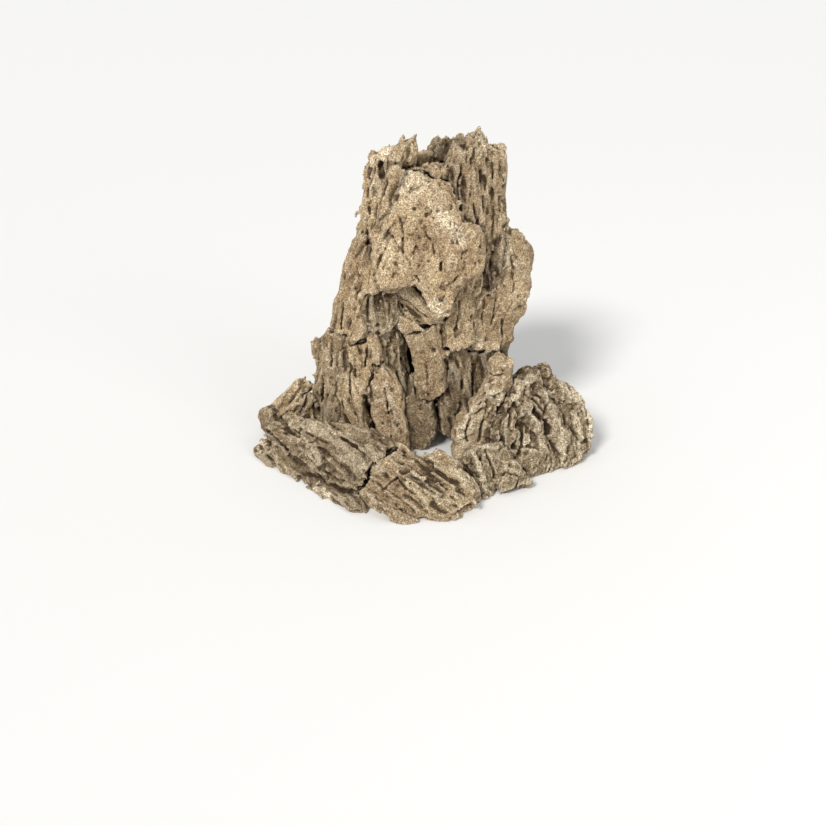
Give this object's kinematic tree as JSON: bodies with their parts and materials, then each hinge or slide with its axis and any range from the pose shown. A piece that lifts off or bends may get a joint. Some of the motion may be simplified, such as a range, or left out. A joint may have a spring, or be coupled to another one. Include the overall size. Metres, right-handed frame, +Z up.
{
  "type": "aquarium cave ornament",
  "caption": "Hollow tower of bonded wood-grained sandy stone slabs with a low cave mouth, an open top and loose base stones around its foot.",
  "frame": {"origin": "on the floor under the centre of the set's bounding box", "axes": "+Z up; -Y is the front, where the cave mouth is; +X to the right seen from the front"},
  "size_m": [0.3303, 0.2305, 0.3056],
  "materials": {
    "pale_stone": "matt, gritty, pale sandy tan with cream patches",
    "tan_stone": "matt, gritty, yellowish tan, wood-grained",
    "brown_stone": "matt, gritty, brown, wood-grained",
    "grey_stone": "matt, gritty, knobby greyish brown with white veins"
  },
  "bodies": {
    "tower": {"face_slab": "pale_stone", "tier_slab": "brown_stone", "left_column": "tan_stone", "left_rib": "pale_stone", "right_column": "brown_stone", "back_top_block": "brown_stone", "back_centre_slab": "brown_stone", "flank_slab": "brown_stone", "right_rib": "brown_stone", "inner_diagonal_slab": "pale_stone", "central_shard": "tan_stone", "foot_wedge": "tan_stone", "inner_left_wall": "brown_stone", "left_blades": "tan_stone", "left_shoulder": "tan_stone", "left_outer_stone": "tan_stone", "left_mid_slab": "tan_stone", "left_leg_slab": "tan_stone", "left_inner_chip": "tan_stone", "left_rear_chip": "tan_stone", "left_far_chip": "tan_stone", "back_left_slab": "brown_stone", "back_right_slab": "brown_stone", "cave_wall": "brown_stone"},
    "front_left": {"front_left_stone": "tan_stone"},
    "front_centre": {"front_centre_stone": "tan_stone"},
    "right_group": {"right_main_stone": "grey_stone", "right_spur_stone": "grey_stone", "right_front_stone": "grey_stone"}
  },
  "joints": [
    {"name": "front_left_slide", "type": "slide", "parent": "tower", "child": "front_left", "axis": [-1, 0, 0], "range_m": [0, 0.12]},
    {"name": "front_centre_slide", "type": "slide", "parent": "tower", "child": "front_centre", "axis": [0.6428, -0.766, 0], "range_m": [0, 0.12]},
    {"name": "right_group_slide", "type": "slide", "parent": "tower", "child": "right_group", "axis": [0.866, -0.5, 0], "range_m": [0, 0.12]}
  ]
}
